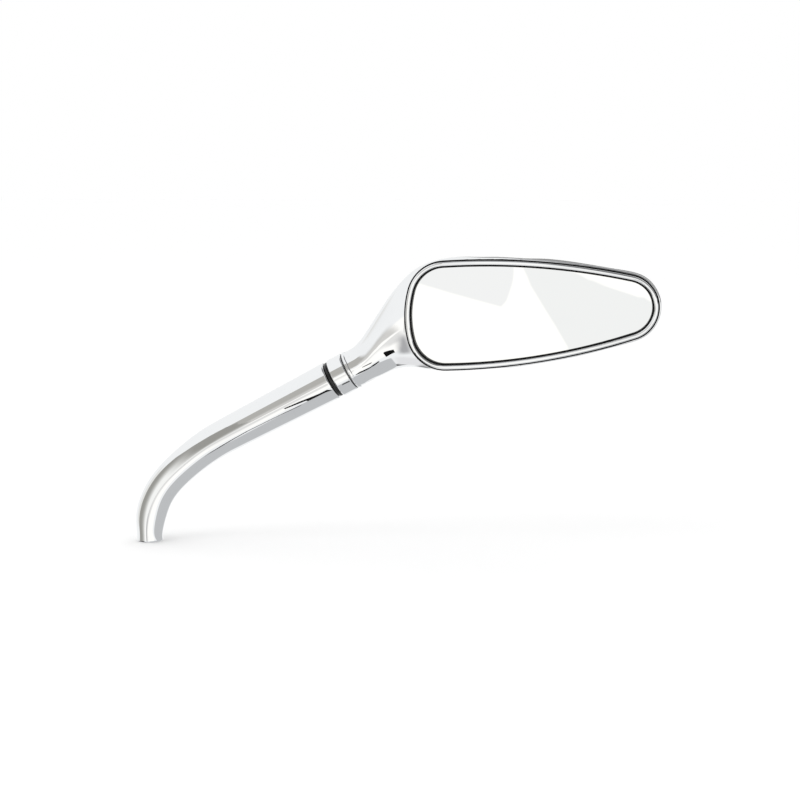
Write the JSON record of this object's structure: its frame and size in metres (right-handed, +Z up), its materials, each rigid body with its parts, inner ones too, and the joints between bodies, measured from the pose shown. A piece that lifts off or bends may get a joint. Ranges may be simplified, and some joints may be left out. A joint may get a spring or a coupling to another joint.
{
  "type": "motorcycle mirror",
  "caption": "Chromed motorcycle mirror: a curved tapered arm with a threaded end carries a teardrop head that swivels on a friction pivot at its neck.",
  "frame": {"origin": "centre of the arm's flat end, on the axis of its threaded hole", "axes": "+Z up the threaded hole and the arm, +X towards the head, mirror face towards -Y"},
  "size_m": [0.307, 0.0309, 0.1697],
  "materials": {
    "chrome": "polished chrome plate",
    "black_rubber": "smooth black rubber",
    "dark_plastic": "black moulded plastic",
    "natural_nylon": "natural nylon",
    "plain_steel": "zinc-plated steel",
    "foam": "adhesive foam",
    "mirror": "silvered convex glass"
  },
  "bodies": {
    "arm": {"arm": "chrome", "pivot_stud": "plain_steel", "o_ring": "black_rubber", "collar": "chrome", "friction_washer": "dark_plastic", "thrust_washer": "plain_steel", "disc_springs": "plain_steel", "lock_nut": "plain_steel", "lock_nut_ring": "natural_nylon"},
    "head": {"housing": "chrome", "pivot_bush": "natural_nylon", "backing_plate": "dark_plastic", "backing_screws": "plain_steel", "adhesive_pad": "foam", "mirror_glass": "mirror", "glass_gasket": "black_rubber", "rim_seal": "black_rubber", "bezel": "chrome"}
  },
  "joints": [
    {"name": "head_swivel", "type": "hinge", "parent": "arm", "child": "head", "pos_m": [0.10973, 0, 0.09724], "axis": [0.8829, 0, 0.4695], "continuous": true}
  ]
}
